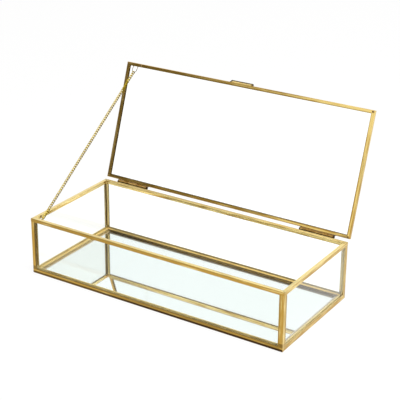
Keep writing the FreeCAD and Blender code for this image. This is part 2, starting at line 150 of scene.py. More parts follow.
plain = mixed(tree, paths["Is Camera Ray"], FILL_LIGHT, SEEN_WHITE, "FLOAT")
through = mixed(tree, paths["Is Transmission Ray"], plain, SEEN_IN_GLASS, "FLOAT")
strength = mixed(tree, paths["Is Glossy Ray"], through, shade, "FLOAT")
sky = put(tree, "ShaderNodeBackground", {"Color": paper, "Strength": strength})
put(tree, "ShaderNodeOutputWorld", {"Surface": sky.outputs[0]})

LAMPS = [
    ("key_box", (0.75, -0.35, 1.15), 0.9, 0.9, 9.0, True),
    ("back_box", (-0.25, 1.25, 0.62), 2.2, 0.5, 0.4, False),
]
LAMPS_AIM = Vector((0, 0, 0.05))
for name, spot, wide, tall, watts, through_glass in LAMPS:
    lamp = bpy.data.lights.new(name, "AREA")
    lamp.shape = "RECTANGLE"
    lamp.size, lamp.size_y = wide, tall
    lamp.energy = watts
    holder = bpy.data.objects.new(name, lamp)
    holder.location = spot
    holder.rotation_euler = (LAMPS_AIM - Vector(spot)).to_track_quat("-Z", "Y").to_euler()
    holder.visible_transmission = through_glass
    scene.collection.objects.link(holder)

CAMERA_AT = Vector((0.47189, -0.74565, 0.44714))
AZIMUTH, ELEVATION, ROLL = math.radians(33.7), math.radians(21.942), math.radians(-0.009)
LENS, SENSOR, SHIFT_X, SHIFT_Y = 109.994, 36, 0.06925, -0.07447
backward = Vector((
    math.sin(AZIMUTH) * math.cos(ELEVATION), -math.cos(AZIMUTH) * math.cos(ELEVATION), math.sin(ELEVATION),
))
level = Vector((math.cos(AZIMUTH), math.sin(AZIMUTH), 0))
upward = backward.cross(level)
rightward = level * math.cos(ROLL) + upward * math.sin(ROLL)
upward = upward * math.cos(ROLL) - level * math.sin(ROLL)
camera_data = bpy.data.cameras.new("camera")
camera_data.sensor_width = SENSOR
camera_data.lens = LENS
camera_data.shift_x, camera_data.shift_y = SHIFT_X, SHIFT_Y
camera_data.clip_start = 0.01
camera = bpy.data.objects.new("camera", camera_data)
camera_turn = Matrix((rightward, upward, backward)).transposed().to_4x4()
camera.matrix_world = Matrix.Translation(CAMERA_AT) @ camera_turn
scene.collection.objects.link(camera)
scene.camera = camera


# Bottom rails. Corner strip of thin brass, two angles on a soldered core, mitred at the corners.
# The metal is drawn, waxed and lightly aged: pale where it was rubbed and where painted highlights lie,
# brown in its long scratches, and darkened by painted shade along its grooves and foot.
def new_group(name, kind, inputs, outputs):
    """An empty node group with the given sockets, what it is given and what it puts out."""
    group = bpy.data.node_groups.new(name, kind)
    for way, sockets in (("INPUT", inputs), ("OUTPUT", outputs)):
        for label, socket in sockets.items():
            group.interface.new_socket(label, in_out=way, socket_type=f"NodeSocket{socket}")
    given, made = group.nodes.new("NodeGroupInput"), group.nodes.new("NodeGroupOutput")
    return group, given.outputs, made.inputs


EVEN_POLISH = 0.5


def aged_brass_group():
    """Colour, roughness and height of drawn brass: streaks, clouds, pits, polish and painted highlights,
    and dark lines that are mostly painted shade.
    """
    tones = dict.fromkeys(("Rubbed And Lit", "Body", "Tarnish"), "Color")
    shares = dict.fromkeys(("Age", "Polish And Sheen", "Shade And Ink"), "Float")
    group, given, made = new_group(
        "aged_brass", "ShaderNodeTree", {"Vector": "Vector", **tones, **shares},
        {"Color": "Color", "Roughness": "Float", "Height": "Float"},
    )

    def noise(scale, detail, rough, warp=0.0):
        """Clouds of the given scale, each with its detail, roughness and warp."""
        sizes = {"Scale": scale, "Detail": detail, "Roughness": rough, "Distortion": warp}
        return put(group, "ShaderNodeTexNoise", {"Vector": given["Vector"], **sizes}).outputs["Fac"]

    streaks = noise(1.0, 4.0, 0.6)
    clouds = noise(0.31, 3.0, 0.55, 0.8)
    specks = noise(2.7, 2.0, 0.7)
    polish_and_sheen = maths(group, "MULTIPLY", maths(group, "SUBTRACT", given["Polish And Sheen"], EVEN_POLISH), 0.5)
    rubbed_and_lit = ramp(group, maths(group, "ADD", streaks, polish_and_sheen), 0.42, 0.72)
    aged = maths(group, "MULTIPLY", ramp(group, clouds, 0.48, 0.7), given["Age"])
    pitted = maths(group, "MULTIPLY", ramp(group, specks, 0.62, 0.72), given["Age"])
    ragged = maths(group, "MULTIPLY", given["Shade And Ink"], ramp(group, clouds, 0.2, 0.5, 0.75, 1.0))
    dark = maths(group, "MAXIMUM", ragged, aged, pitted)
    clean = mixed(group, rubbed_and_lit, given["Body"], given["Rubbed And Lit"])
    drawn = ramp(group, streaks, 0.3, 0.7, 0.1, 0.2)
    group.links.new(mixed(group, dark, clean, given["Tarnish"]), made["Color"])
    group.links.new(maths(group, "ADD", drawn, maths(group, "MULTIPLY", dark, 0.2)), made["Roughness"])
    group.links.new(maths(group, "SUBTRACT", streaks, maths(group, "MULTIPLY", dark, 0.6)), made["Height"])
    return group


def vectors(tree, operation, *values):
    """One Vector Math node over one or two vectors, and its output."""
    return put(tree, "ShaderNodeVectorMath", dict(enumerate(values)), operation=operation).outputs[0]


def parts_of(tree, vector):
    """The X, Y and Z of a vector."""
    return put(tree, "ShaderNodeSeparateXYZ", {0: vector}).outputs


def strip_lines_group():
    """Where the box's strip carries painted highlights and painted shade, and where it is bare metal, from the
    place and facing of its skin.

    The named values are lengths in metres, and the plain numbers are shares of shade, polish or metal.
    """
    SKIN, GROOVE, MITRE, REAR_STRIP = 0.001, 0.0015, 0.0003, 0.004
    RAIL_TOP, FOOT_SHADOW, LIP_SHADE = 0.0065, (0.0016, 0.0024), (0.0029, 0.0036)
    POST_LINE, POST_BED = (0.0023, 0.0033), (0.0041, 0.0049)
    LEG_LINE, SIDE_LEG_RISE, LEG_EDGE, LEG_LYING = (0.0036, 0.0041), 0.0005, 0.0046, (0.0036, 0.0046)
    LEFT_FADE, REAR_FADE = (-0.1, 0.1), (0.0, 0.04)
    SQUARE_ON = 0.7
    group, given, made = new_group(
        "strip_lines", "ShaderNodeTree",
        {**dict.fromkeys(("Vector", "Normal", "Middle"), "Vector"),
         **dict.fromkeys(("Half Width", "Half Depth", "Rim"), "Float")},
        dict.fromkeys(("Polish And Sheen", "Shade And Ink", "Metallic"), "Float"),
    )

    def both(*values):
        return maths(group, "MULTIPLY", *values)

    def most(*values):
        return maths(group, "MAXIMUM", *values)

    def less(a, b):
        return maths(group, "SUBTRACT", a, b)

    def vary(base, mask, change):
        return maths(group, "ADD", base, both(mask, change))

    def over(value, limit):
        return maths(group, "GREATER_THAN", value, limit)

    def under(value, limit):
        return maths(group, "LESS_THAN", value, limit)

    def length(value):
        return maths(group, "ABSOLUTE", value, 0.0)

    def rise(value, span):
        return ramp(group, value, *span)

    def pick(mask, a, b):
        return mixed(group, mask, a, b, "FLOAT")

    x, y, height = parts_of(group, vectors(group, "SUBTRACT", given["Vector"], given["Middle"]))
    facing_x, facing_y, facing_up = parts_of(group, given["Normal"])
    from_side = less(given["Half Width"], length(x))
    from_end = less(given["Half Depth"], length(y))
    is_side, is_front = over(length(facing_x), SQUARE_ON), over(length(facing_y), SQUARE_ON)
    is_top = over(facing_up, SQUARE_ON)
    upright = most(is_side, is_front)
    outward = over(maths(group, "ADD", both(x, facing_x), both(y, facing_y)), 0.0)
    nearest = maths(group, "MINIMUM", from_side, from_end)
    inset = pick(is_side, pick(is_front, nearest, from_end), from_side)
    along = pick(is_side, from_side, from_end)
    low, high = under(height, RAIL_TOP), over(height, given["Rim"])
    post = less(less(1.0, low), high)
    skin = both(upright, outward, under(inset, SKIN))
    bedded = both(upright, outward, over(inset, GROOVE))
    inner = both(upright, less(1.0, outward))
    beside = under(from_side, from_end)
    # Towards the box's left end the rim and corner lines grow darker, a painted reflection of the studio's
    # shaded corner, and the painted foot shadow grows fainter.
    leftward = rise(both(x, -1.0), LEFT_FADE)
    rearward = over(y, less(given["Half Depth"], REAR_STRIP))

    # Nearly all these dark lines are painted shade: a painted contact shadow along the foot of the front and
    # Only the mitre seams along the rim's top are real dark joints.
    # rear rails, shade in the gap above the outer leg, and shade in the grooves, on the legs and on inside
    # faces.
    foot_shadow = both(skin, is_front, less(1.0, rise(height, FOOT_SHADOW)), vary(1.2, leftward, -0.35))
    lip_shade = both(skin, low, rise(height, LIP_SHADE), vary(0.6, is_side, -0.45))
    corner_line = both(skin, post, rise(along, POST_LINE), vary(0.3, leftward, 0.55))
    rim_line = both(skin, high, is_front, vary(0.04, leftward, 0.22))
    leg_height = vary(height, is_side, SIDE_LEG_RISE)
    leg_top = both(inner, low, rise(leg_height, LEG_LINE), vary(0.75, is_side, -0.25))
    leg_edge = both(low, over(inset, LEG_EDGE), upright, vary(0.9, is_side, -0.5))
    lying = both(is_top, low, rise(inset, LEG_LYING), vary(1.0, beside, -0.85))
    thin = both(is_top, low, under(inset, SKIN), vary(0.7, beside, -0.5))
    cheek = both(inner, post, is_side, 0.95)
    bed = both(bedded, post, is_front, leftward, less(1.0, rise(along, POST_BED)))
    rear_bed = both(bedded, post, is_side, over(y, 0.0), 0.4)
    rim_top = both(is_top, high, leftward, 0.25)
    seam = both(is_top, high, under(length(less(from_side, from_end)), MITRE), 0.7)
    far_rim = both(inner, high, is_side, leftward, rise(y, REAR_FADE), 0.35)
    shade_and_ink = most(foot_shadow, lip_shade, corner_line, rim_line, leg_top, leg_edge, lying, thin, cheek, rim_top, seam,
               far_rim, both(bed, 0.15), rear_bed)
    group.links.new(maths(group, "MINIMUM", shade_and_ink, 1.0), made["Shade And Ink"])

    # Painted highlights: the top faces, the faces bedded on the glass, the inside faces and the outer faces
    # of the side rails are made paler, standing in for light from above and through the panes.
    bright = maths(group, "ADD", both(is_top, 0.7), both(bedded, vary(0.6, bed, -1.3)),
                   both(inner, vary(0.6, high, -0.2)), both(skin, is_side, 0.2))
    group.links.new(maths(group, "ADD", 0.3, bright), made["Polish And Sheen"])

    inside = both(inner, less(1.0, high), vary(1.0, is_front, 0.3))
    shut_in = most(bedded, inside, both(is_top, most(low, rearward)))
    group.links.new(less(1.0, both(shut_in, 0.75)), made["Metallic"])
    return group


strip_lines = strip_lines_group()
aged_brass = aged_brass_group()
STRIP_TONES = {"Rubbed And Lit": (0.99, 0.795, 0.35), "Body": (0.53, 0.32, 0.06), "Tarnish": (0.05, 0.023, 0.004)}


def brass_material(name, grain, age=0.4, tones=STRIP_TONES, polish_and_sheen=EVEN_POLISH, metallic=1.0,
                   turn=0.0, axis=(0, 0, 0), lines=None, sizes=None):
    """Aged brass with streaks of the given size in metres along X, Y and Z of the closed box.

    turn and axis take an open piece back to where it lies when the box is shut. lines is the group
    that says where the piece is darkened by painted shade and dark lines, where it is polished or given
    painted highlights and where it is bare, and sizes are the inputs it needs.
    """
    material = bpy.data.materials.new(name)
    material.use_nodes = True
    tree = material.node_tree
    shader = tree.nodes["Principled BSDF"].inputs
    shader["Metallic"].default_value = metallic
    shader["Specular IOR Level"].default_value = 0.15
    shader["Coat Weight"].default_value = 0.08
    shader["Coat Roughness"].default_value = 0.12
    where = put(tree, "ShaderNodeTexCoord").outputs
    shut = {"Vector": where["Object"], "Location": axis, "Rotation": (turn, 0, 0)}
    closed = put(tree, "ShaderNodeMapping", shut, vector_type="TEXTURE").outputs["Vector"]
    placed = put(tree, "ShaderNodeMapping", {"Vector": closed, "Scale": grain}, vector_type="TEXTURE")
    brass = put(tree, "ShaderNodeGroup", node_tree=aged_brass)
    for tone, colour in tones.items():
        brass.inputs[tone].default_value = (*colour, 1)
    brass.inputs["Age"].default_value = age
    brass.inputs["Polish And Sheen"].default_value = polish_and_sheen
    tree.links.new(placed.outputs["Vector"], brass.inputs["Vector"])
    if lines:
        line = put(tree, "ShaderNodeGroup", node_tree=lines)
        for part, value in sizes.items():
            line.inputs[part].default_value = value
        tree.links.new(closed, line.inputs["Vector"])
        if "Normal" in line.inputs:
            tree.links.new(where["Normal"], line.inputs["Normal"])
        for made in line.outputs:
            taker = brass.inputs if made.name in brass.inputs else shader
            tree.links.new(made, taker[made.name])
    relief = {"Height": brass.outputs["Height"], "Strength": 0.25, "Distance": 0.00006}
    tree.links.new(put(tree, "ShaderNodeBump", relief).outputs["Normal"], shader["Normal"])
    tree.links.new(brass.outputs["Color"], shader["Base Color"])
    tree.links.new(brass.outputs["Roughness"], shader["Roughness"])
    return material


def finish_node(name, material):
    """Give a CAD piece its material in place of the plain one that it came with."""
    nodes[name].data.materials.clear()
    nodes[name].data.materials.append(material)


STREAK, WIDTH = 0.022, 0.0014
ACROSS, DEEP, UPRIGHT = (STREAK, WIDTH, WIDTH), (WIDTH, STREAK, WIDTH), (WIDTH, WIDTH, STREAK)
RIM_FLANGE, HAIR = 0.0029, 0.0001
low, high = (Vector(corner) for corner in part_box("bottom_front_rail"))
rear_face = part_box("bottom_rear_rail")[1][1]
rim_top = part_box("top_front_rail")[1][2]
box_sizes = {
    "Middle": (0, (low.y + rear_face) / 2, 0), "Half Width": high.x, "Half Depth": (rear_face - low.y) / 2,
    "Rim": rim_top - RIM_FLANGE - HAIR,
}
along_x = brass_material("strip_brass_across", ACROSS, lines=strip_lines, sizes=box_sizes)
along_y = brass_material("strip_brass_deep", DEEP, lines=strip_lines, sizes=box_sizes)
for side, metal in (("front", along_x), ("rear", along_x), ("left", along_y), ("right", along_y)):
    finish_node(f"bottom_{side}_rail", metal)

# Corner posts. The same strip standing up, its foot mitred into the bottom rails and soldered there.
# Its two grooves hold the ends of the wall panes that meet at the corner.
along_z = brass_material("strip_brass_upright", UPRIGHT, lines=strip_lines, sizes=box_sizes)
for corner in ("front_left", "front_right", "rear_left", "rear_right"):
    finish_node(f"{corner}_post", along_z)

# Rim. Thin brass folded to a channel and pressed down over the top edges of the walls. It is mitred at
# the corners and soldered to the posts.
for side, metal in (("front", along_x), ("rear", along_x), ("left", along_y), ("right", along_y)):
    finish_node(f"top_{side}_rail", metal)


# Wall panes. Clear sheet glass, ground at the edges and held by the strip on all four sides. Handling
# has left the faintest film on it, so its gloss isn't quite even. The left pane is a little creamy.
def glass_film_group():
    """Roughness of clean glass with a faint wiped film, and the slow waviness of drawn sheet."""
    group, given, made = new_group(
        "glass_film", "ShaderNodeTree", {"Vector": "Vector", "Film": "Float"},
        {"Roughness": "Float", "Height": "Float"},
    )
    wiped = put(group, "ShaderNodeTexNoise", {
        "Vector": given["Vector"], "Scale": 22.0, "Detail": 3.0, "Distortion": 1.5,
    }).outputs["Fac"]
    slow = put(group, "ShaderNodeTexNoise", {"Vector": given["Vector"], "Scale": 14.0, "Detail": 0.0})
    group.links.new(ramp(group, wiped, 0.45, 0.8, 0.0, given["Film"], smooth=False), made["Roughness"])
    group.links.new(slow.outputs["Fac"], made["Height"])
    return group


glass_film = glass_film_group()
FILM, SHADOW_GLASS = 0.012, (0.95, 0.96, 0.955, 1)


def glass_material(name, colour):
    """Clear glass that lets the lamps through, with a faint film on it."""
    material = bpy.data.materials.new(name)
    material.use_nodes = True
    tree = material.node_tree
    shader = tree.nodes["Principled BSDF"]
    shader.inputs["Base Color"].default_value = (*colour, 1)
    shader.inputs["Transmission Weight"].default_value = 1.0
    shader.inputs["IOR"].default_value = 1.48
    shader.inputs["Specular Tint"].default_value = (0.25, 0.25, 0.25, 1)
    where = put(tree, "ShaderNodeTexCoord").outputs["Object"]
    surface = put(tree, "ShaderNodeGroup", node_tree=glass_film)
    surface.inputs["Film"].default_value = FILM
    tree.links.new(where, surface.inputs["Vector"])
    waves = {"Height": surface.outputs["Height"], "Strength": 0.1, "Distance": 0.00004}
    tree.links.new(put(tree, "ShaderNodeBump", waves).outputs["Normal"], shader.inputs["Normal"])
    tree.links.new(surface.outputs["Roughness"], shader.inputs["Roughness"])
    clear = put(tree, "ShaderNodeBsdfTransparent", {"Color": SHADOW_GLASS})
    shadow = put(tree, "ShaderNodeLightPath").outputs["Is Shadow Ray"]
    lit = put(tree, "ShaderNodeMixShader", {"Fac": shadow, 1: shader.outputs[0], 2: clear.outputs[0]})
    tree.links.new(lit.outputs[0], tree.nodes["Material Output"].inputs["Surface"])
    return material


pane_glass = glass_material("pane_glass", (0.97, 0.988, 0.982))
creamy_glass = glass_material("creamy_glass", (0.925, 0.935, 0.905))
for side in ("front", "rear", "left", "right"):
    finish_node(f"{side}_glass", creamy_glass if side == "left" else pane_glass)


# Mirror floor. Float glass silvered on its back. The silver is sealed with grey paint underneath. A
# brown band along its two short ends is painted shade where the rails overhang its edges. The sheet
# lies on the lower legs of the bottom rails.
SILVER, EDGE_SHADE_BROWN = (0.975, 0.985, 0.98, 1), (0.5, 0.35, 0.13, 1)
PAINT_DARK, PAINT_PALE = (0.112, 0.112, 0.119, 1), (0.224, 0.224, 0.238, 1)
EDGE_SHADE_FROM, EDGE_SHADE_TO = high.x - 0.0079, high.x - 0.0063
SILVER_ROUGH, PAINT_ROUGH, FACING_DOWN = 0.012, 0.6, -0.5
silvering = bpy.data.materials.new("silvered_back")
silvering.use_nodes = True
tree = silvering.node_tree
shader = tree.nodes["Principled BSDF"].inputs
where = put(tree, "ShaderNodeTexCoord").outputs
painted = maths(tree, "LESS_THAN", parts_of(tree, where["Normal"])["Z"], FACING_DOWN)
outward = maths(tree, "ABSOLUTE", parts_of(tree, where["Object"])["X"], 0.0)
# Painted shade: a brown band along the two short ends, where the rails' lying legs overhang the sheet.
edge_shaded = ramp(tree, outward, EDGE_SHADE_FROM, EDGE_SHADE_TO)
above = put(tree, "ShaderNodeMath", {0: edge_shaded, 1: painted}, operation="SUBTRACT", use_clamp=True)
covered = maths(tree, "MAXIMUM", edge_shaded, painted)
mottle = put(tree, "ShaderNodeTexNoise", {"Vector": where["Object"], "Scale": 240.0, "Detail": 4.0})
paint = mixed(tree, mottle.outputs["Fac"], PAINT_DARK, PAINT_PALE)
back = mixed(tree, painted, SILVER, paint)
tree.links.new(mixed(tree, above.outputs[0], back, EDGE_SHADE_BROWN), shader["Base Color"])
tree.links.new(maths(tree, "SUBTRACT", 1.0, covered), shader["Metallic"])
tree.links.new(ramp(tree, covered, 0.0, 1.0, SILVER_ROUGH, PAINT_ROUGH, smooth=False), shader["Roughness"])
finish_node("mirror_silvering", silvering)

ARRIS, BOND = 0.0004, 0.00002
sheet_mesh = bpy.data.meshes.new("mirror_sheet")
sheet_low, sheet_high = (Vector(corner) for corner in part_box("mirror_glass"))
sheet_low.z += BOND
sheet_form = bmesh.new()
bmesh.ops.create_cube(sheet_form, size=1.0)
for vertex in sheet_form.verts:
    vertex.co = Vector(a + (b - a) * (part + 0.5) for a, b, part in zip(sheet_low, sheet_high, vertex.co))
bmesh.ops.bevel(sheet_form, geom=sheet_form.edges[:], offset=ARRIS, segments=1, affect="EDGES")
sheet_form.to_mesh(sheet_mesh)
sheet_form.free()
sheet_mesh.materials.append(glass_material("mirror_glass", (0.98, 0.995, 0.99)))
mirror_sheet = bpy.data.objects.new("mirror_sheet", sheet_mesh)
scene.collection.objects.link(mirror_sheet)
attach(mirror_sheet, "box")
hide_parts("mirror_glass")


# Lid frame. Channel folded round the lid's glass and mitred, in the same brass but handled more, so
# browner. A dark line is left beside the glass. Painted reflection makes the strip lighter to the right
# and front, and painted shade darker to the left and rear. Its finish is laid out on the shut lid.
def lid_lines_group():
    """How bright the lid's strip is, lit towards the right and front by painted reflection, and how dark
    beside the glass and on its bedded faces.
    """
    group, given, made = new_group(
        "lid_lines", "ShaderNodeTree",
        {**dict.fromkeys(("Vector", "Middle"), "Vector"),
         **dict.fromkeys(("Half Width", "Half Depth", "Line", "Bed"), "Float")},
        dict.fromkeys(("Polish And Sheen", "Shade And Ink"), "Float"),
    )
    RIGHT_FADE, REAR_FADE, BED_REACH = (-0.03, 0.11), (-0.03, 0.04), 0.0025

    def times(a, b):
        return maths(group, "MULTIPLY", a, b)

    def less(a, b):
        return maths(group, "SUBTRACT", a, b)

    def length(value):
        return maths(group, "ABSOLUTE", value, 0.0)

    x, y, height = parts_of(group, vectors(group, "SUBTRACT", given["Vector"], given["Middle"]))
    line = given["Line"]
    past = maths(group, "MAXIMUM", less(length(x), given["Half Width"]), less(length(y), given["Half Depth"]))
    fade = ramp(group, past, 0.0, line, 0.5, 0.0)
    band_by_line = ramp(group, length(less(past, times(line, 1.4))), times(line, 0.3), times(line, 0.8), 0.5, 0.25)
    # Painted reflection: brighter towards the right and the front, so the left and rear read as shade.
    lit_right_front = times(ramp(group, x, *RIGHT_FADE, 0.0, 0.5), ramp(group, y, *REAR_FADE, 1.0, 0.4))
    group.links.new(maths(group, "ADD", band_by_line, lit_right_front), made["Polish And Sheen"])
    in_groove = maths(group, "LESS_THAN", length(height), given["Bed"])
    bedded = times(in_groove, maths(group, "LESS_THAN", past, BED_REACH))
    group.links.new(maths(group, "MAXIMUM", fade, times(bedded, 0.9)), made["Shade And Ink"])
    return group


swing = -math.radians(joints["lid_hinge"]["range_deg"][1])
lid_axis = joints["lid_hinge"]["pos_m"]
LID_FLANGE, LID_RISE, LID_LINE, GROOVE_HALF = 0.00275, 0.0017, 0.0011, 0.0011
LID_TONES = {"Rubbed And Lit": (0.92, 0.69, 0.24), "Body": (0.5, 0.3, 0.055), "Tarnish": (0.055, 0.026, 0.004)}
lid_sizes = {
    "Middle": (0, box_sizes["Middle"][1] - lid_axis[1], LID_RISE), "Half Width": high.x - LID_FLANGE,
    "Half Depth": (rear_face - low.y) / 2 - LID_FLANGE, "Line": LID_LINE, "Bed": GROOVE_HALF,
}
on_lid = {"turn": swing, "axis": lid_axis}
lid_finish = {"age": 0.45, "tones": LID_TONES, "lines": lid_lines_group(), "sizes": lid_sizes, **on_lid}
lid_across = brass_material("lid_brass_across", ACROSS, **lid_finish)
lid_deep = brass_material("lid_brass_deep", DEEP, **lid_finish)
for side, metal in (("front", lid_across), ("rear", lid_across), ("left", lid_deep), ("right", lid_deep)):
    finish_node(f"lid_{side}_rail", metal)
finish_node("lid_glass", pane_glass)


# Finger tab. A short strip folded to a lip and soldered on the middle of the lid's front edge. It is
# rubbed bright, and brown at its two ends and where it lies on the frame.
def end_lines_group():
    """Dark brown beyond the given reach from the middle of a small piece, along each of its axes."""
    BLUR = 0.0002
    group, given, made = new_group(
        "end_lines", "ShaderNodeTree", dict.fromkeys(("Vector", "Middle", "Reach"), "Vector"), {"Shade And Ink": "Float"},
    )
    away = vectors(group, "ABSOLUTE", vectors(group, "SUBTRACT", given["Vector"], given["Middle"]))
    past = maths(group, "MAXIMUM", *parts_of(group, vectors(group, "SUBTRACT", away, given["Reach"])))
    group.links.new(ramp(group, past, -BLUR, BLUR, 0.0, 0.95), made["Shade And Ink"])
    return group


end_lines = end_lines_group()
tab_low, tab_high = (Vector(corner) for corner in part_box("lid_tab"))
TAB_STREAK, TAB_END, LIP_FLAT, FAR = 0.006, 0.0015, 0.0009, 1.0
tab_sizes = {
    "Middle": ((tab_low.x + tab_high.x) / 2, low.y - lid_axis[1], 0),
    "Reach": ((tab_high.x - tab_low.x) / 2 - TAB_END, LIP_FLAT, FAR),
}
tab_brass = brass_material("tab_brass", (TAB_STREAK, WIDTH, WIDTH), age=0.3, polish_and_sheen=1.0, metallic=0.3,
                           lines=end_lines, sizes=tab_sizes, **on_lid)
finish_node("lid_tab", tab_brass)

# Butt hinges. Rolled knuckles on a brass pin, the leaves soldered to the rear rim and to the lid. They
# are browner than the strip and darkest at their ends. Low on the box leaf they are darkened by painted
# shade, between the leaf and the rim under the knuckles.
HINGE_TONES = {"Rubbed And Lit": (0.66, 0.44, 0.14), "Body": (0.34, 0.19, 0.045), "Tarnish": (0.04, 0.017, 0.003)}
HINGE_GRAIN = (0.004, 0.0012, 0.0012)
HINGE_END, SEAM = 0.0009, 0.0005
for side in ("left", "right"):
    leaf_low, leaf_high = (Vector(corner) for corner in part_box(f"{side}_hinge_box_leaf"))
    half_leaf = (leaf_high.x - leaf_low.x) / 2
    # Dark at both ends of each leaf, and painted shade over the box leaf below the rim's top.
    hinge_sizes = {
        "Middle": (leaf_low.x + half_leaf, 0, rim_top + SEAM + FAR), "Reach": (half_leaf - HINGE_END, FAR, FAR),
    }
    hinge_brass = brass_material(f"{side}_hinge_brass", HINGE_GRAIN, age=0.8, tones=HINGE_TONES,
                                 lines=end_lines, sizes=hinge_sizes)
    for piece in ("box_leaf", "lid_leaf", "pin"):
        finish_node(f"{side}_hinge_{piece}", hinge_brass)

# Chain staples. Soft wire bent to a U and soldered to the strip, one inside the front rim and a longer
# one inside the lid. The solder on them has turned them grey.
TINNED = {"Rubbed And Lit": (0.32, 0.27, 0.2), "Body": (0.15, 0.12, 0.085), "Tarnish": (0.05, 0.04, 0.03)}
WIRE_GRAIN = (0.0008, 0.0008, 0.0008)
staple_wire = brass_material("staple_wire", WIRE_GRAIN, age=0.5, tones=TINNED)
finish_node("box_chain_staple", staple_wire)
finish_node("lid_chain_staple", staple_wire)


# Solder. Small dull dabs where the strip meets at its corners, at the feet of the staples and at the
# ends of the tab and the hinges. Scattered flattened drops, one mesh on the box and one on the lid.
def solder_tree():
    """A drop at every point, flattened along the point's facing and a little lumpy."""
    SMALLEST, LARGEST, LUMP_SCALE, SINK = (0.8, 0.8, 0.9), (1.2, 1.2, 1.1), 900.0, -0.75
    tree, given, made = new_group(
        "solder_dabs", "GeometryNodeTree",
        {"Geometry": "Geometry", "Thickness": "Float", "Lump": "Float", "Seed": "Int", "Metal": "Material"},
        {"Geometry": "Geometry"},
    )

    def stored(name, kind):
        return put(tree, "GeometryNodeInputNamedAttribute", {"Name": name}, data_type=kind).outputs["Attribute"]

    drop = put(tree, "GeometryNodeMeshIcoSphere", {"Radius": 1.0, "Subdivisions": 3})
    facing = stored("facing", "FLOAT_VECTOR")
    turned = put(tree, "FunctionNodeAlignRotationToVector", {"Vector": facing}, axis="Z")
    spans = {0: SMALLEST, 1: LARGEST, "Seed": given["Seed"]}
    uneven = put(tree, "FunctionNodeRandomValue", spans, data_type="FLOAT_VECTOR")
    wide = stored("spread", "FLOAT")
    shape = put(tree, "ShaderNodeCombineXYZ", {"X": wide, "Y": wide, "Z": given["Thickness"]})
    dabs = put(tree, "GeometryNodeInstanceOnPoints", {
        "Points": given["Geometry"], "Instance": drop.outputs[0], "Rotation": turned.outputs[0],
        "Scale": vectors(tree, "MULTIPLY", shape.outputs[0], uneven.outputs[0]),
    })
    real = put(tree, "GeometryNodeRealizeInstances", {0: dabs.outputs[0]})
    rough = put(tree, "ShaderNodeTexNoise", {"Scale": LUMP_SCALE}).outputs["Fac"]
    sink = maths(tree, "MULTIPLY", given["Lump"], SINK)
    swell = put(tree, "ShaderNodeMath", {0: rough, 1: given["Lump"], 2: sink}, operation="MULTIPLY_ADD")
    outward = put(tree, "GeometryNodeInputNormal").outputs[0]
    push = put(tree, "ShaderNodeVectorMath", {0: outward, "Scale": swell.outputs[0]}, operation="SCALE")
    lumpy = put(tree, "GeometryNodeSetPosition", {"Geometry": real.outputs[0], "Offset": push.outputs[0]})
    smooth = put(tree, "GeometryNodeSetShadeSmooth", {"Geometry": lumpy.outputs[0]})
    metal = put(tree, "GeometryNodeSetMaterial", {"Geometry": smooth.outputs[0], "Material": given["Metal"]})
    tree.links.new(metal.outputs[0], made["Geometry"])
    return tree


def grown(name, start, tree, values):
    """The plain mesh that a Geometry Nodes tree makes of a starting mesh with the given inputs."""
    holder = bpy.data.objects.new(name, start)
    scene.collection.objects.link(holder)
    grow = holder.modifiers.new(name, "NODES")
    grow.node_group = tree
    for item in tree.interface.items_tree:
        if item.in_out == "INPUT" and item.name in values:
            grow[item.identifier] = values[item.name]
    evaluated = holder.evaluated_get(bpy.context.evaluated_depsgraph_get())
    mesh = bpy.data.meshes.new_from_object(evaluated)
    bpy.data.objects.remove(holder)
    return mesh


# Each dab is a spot, the way it faces and how far it spreads. Those on the lid are given on the shut
# lid, from the hinges' axis.
SHEET, STRIP_INSIDE, FOOT_IN = 0.00045, 0.003, 0.0003
inside_x, inside_rear, inside_front = high.x - STRIP_INSIDE, rear_face - STRIP_INSIDE, low.y + STRIP_INSIDE
staple_low, staple_high = (Vector(corner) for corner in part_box("box_chain_staple"))
staple_z = (staple_low.z + staple_high.z) / 2
box_dabs = [
    ((x, inside_front, staple_z), (0, 1, 0), 0.0009) for x in (staple_low.x + FOOT_IN, staple_high.x - FOOT_IN)
]
RIM_DAB_DOWN, RAIL_DAB_UP, SLANT = 0.0016, 0.0034, 0.7
for x in (-inside_x, inside_x):
    lean = -math.copysign(SLANT, x)
    for y, back in ((inside_rear, -SLANT), (inside_front, SLANT)):
        box_dabs.append(((x, y, rim_top - RIM_DAB_DOWN), (lean, back, 0), 0.0011))
        box_dabs.append(((x, y, RAIL_DAB_UP), (lean, back, 0.4), 0.0010))
LEAF_DAB_DOWN = 0.0018
for side in ("left", "right"):
    leaf_low, leaf_high = (Vector(corner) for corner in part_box(f"{side}_hinge_box_leaf"))
    for x in (leaf_low.x, leaf_high.x):
        box_dabs.append(((x, rear_face, rim_top - LEAF_DAB_DOWN), (0, 1, 0), 0.0008))
LEFT_RIM_IN, LEFT_RIM_DOWN = 0.0088, 0.0013
RIGHT_RAIL_IN, RIGHT_RAIL_UP = 0.0064, 0.0047
POST_HEAD_IN = 0.0049
box_dabs += [
    ((-inside_x, low.y + LEFT_RIM_IN, rim_top - LEFT_RIM_DOWN), (1, 0, 0), 0.0012),
    ((high.x - SHEET, rear_face - RIGHT_RAIL_IN, RIGHT_RAIL_UP), (1, 0, 0), 0.0012),
    ((-high.x + POST_HEAD_IN, low.y + SHEET, rim_top - RIM_FLANGE - HAIR), (0, -1, 0), 0.0011),
]
LID_UNDER, LID_STAPLE_IN, LID_STAPLE_UP = 0.0002, 0.0028, 0.0006
TAB_DAB_IN, EDGE_DAB_X, EDGE_DAB_IN, LID_CORNER_IN = 0.0004, -0.101, 0.0014, 0.0013
lid_staple_x = [corner[0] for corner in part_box("lid_chain_staple")]
